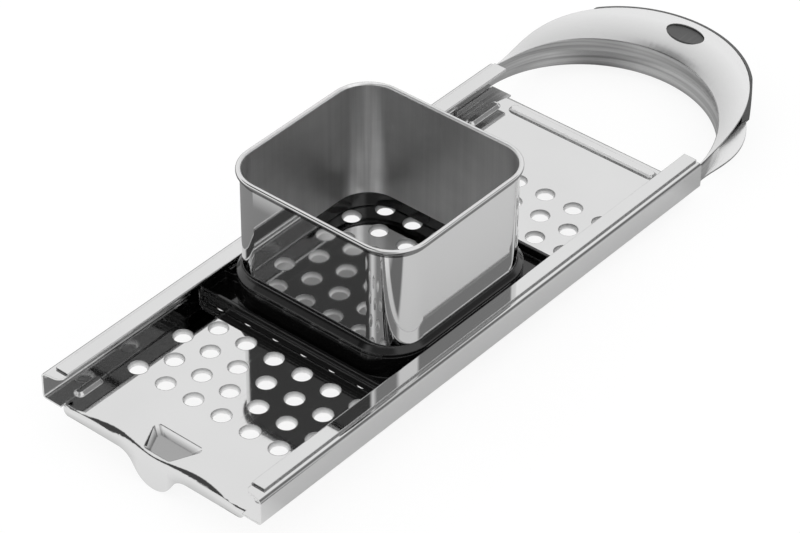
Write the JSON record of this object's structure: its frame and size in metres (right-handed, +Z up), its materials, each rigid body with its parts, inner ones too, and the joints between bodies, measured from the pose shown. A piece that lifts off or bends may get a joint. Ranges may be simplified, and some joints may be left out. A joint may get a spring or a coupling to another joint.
{
  "type": "spaetzle maker",
  "caption": "Perforated grater plate with folded rails and a hollow stamped handle, carrying a sliding open cup that scrapes soft dough through the holes.",
  "frame": {"origin": "centre of the field of holes, on the underside of the grater plate", "axes": "+X along the rails towards the handle, +Y to the left when looking towards the handle, +Z up through the cup"},
  "size_m": [0.3677, 0.1196, 0.0832],
  "materials": {
    "plate_steel": "mirror-polished stainless sheet",
    "handle_steel": "polished stainless sheet",
    "cup_steel": "polished outside, satin inside",
    "core_plastic": "matt dark grey",
    "badge_plastic": "satin dark grey",
    "slide_plastic": "gloss black",
    "collar_plastic": "gloss black"
  },
  "bodies": {
    "frame": {"grater_plate": "plate_steel", "handle_shell": "handle_steel", "handle_core": "core_plastic", "handle_badge": "badge_plastic"},
    "slider": {"slider_tray": "slide_plastic", "cup_collar": "collar_plastic", "hopper_cup": "cup_steel"}
  },
  "joints": [
    {"name": "slider_travel", "type": "slide", "parent": "frame", "child": "slider", "axis": [1, 0, 0], "range_m": [-0.0639, 0.0559]}
  ]
}
